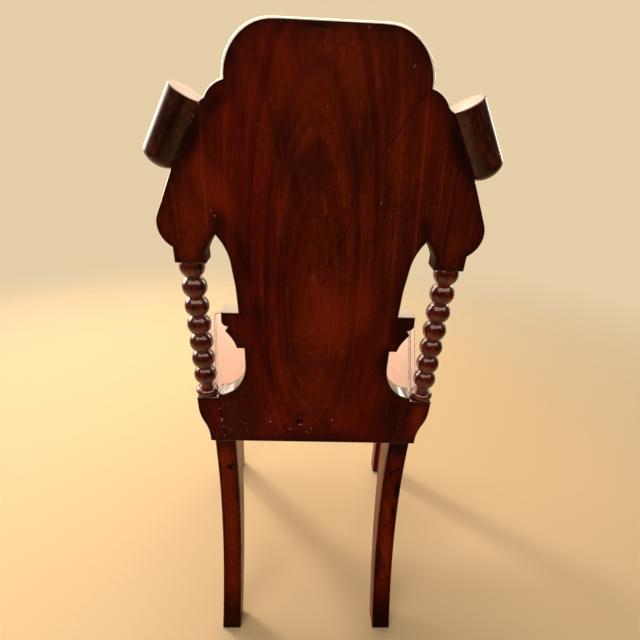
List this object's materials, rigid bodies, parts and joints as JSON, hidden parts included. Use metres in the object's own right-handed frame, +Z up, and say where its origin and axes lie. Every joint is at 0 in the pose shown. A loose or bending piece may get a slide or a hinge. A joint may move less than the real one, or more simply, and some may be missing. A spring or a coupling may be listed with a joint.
{
  "type": "hall chair",
  "caption": "Hall chair with a raked shaped board back, shoulder rolls, ball-turned side spindles and a flat tapering seat on square tapered front legs and swept rear legs.",
  "frame": {"origin": "centre of the chair's footprint on the floor", "axes": "+Z up, -Y is the way the sitter faces, +X is the sitter's left"},
  "size_m": [0.4534, 0.4283, 0.8809],
  "materials": {
    "mahogany_board": "French-polished dark mahogany with flamed vertical grain, worn and finely scratched",
    "mahogany_turned": "French-polished dark mahogany, turned",
    "mahogany_seat": "French-polished mahogany, high shine",
    "mahogany_frame": "French-polished dark mahogany, straight grain",
    "secondary_wood": "unpolished secondary timber",
    "dowel_wood": "plain beech dowel",
    "pellet_wood": "mahogany pellet, slightly paler than the board",
    "screw_steel": "dull steel wood screw"
  },
  "bodies": {
    "root": {"back_board": "mahogany_board", "shoulder_roll_left": "mahogany_turned", "shoulder_roll_right": "mahogany_turned", "roll_dowels": "dowel_wood", "spindle_left": "mahogany_turned", "spindle_right": "mahogany_turned", "corbel_left": "mahogany_board", "corbel_right": "mahogany_board", "corbel_dowels": "dowel_wood", "seat_board": "mahogany_seat", "front_rail": "mahogany_frame", "side_rail_left": "mahogany_frame", "side_rail_right": "mahogany_frame", "rear_rail": "secondary_wood", "rear_leg_left": "mahogany_frame", "rear_leg_right": "mahogany_frame", "front_leg_left": "mahogany_frame", "front_leg_right": "mahogany_frame", "corner_block_front_left": "secondary_wood", "corner_block_front_right": "secondary_wood", "corner_block_rear_left": "secondary_wood", "corner_block_rear_right": "secondary_wood", "glue_blocks": "secondary_wood", "corner_block_screws": "screw_steel", "seat_screws": "screw_steel", "rear_rail_screws": "screw_steel", "back_screws": "screw_steel", "screw_pellets": "pellet_wood"}
  },
  "joints": []
}
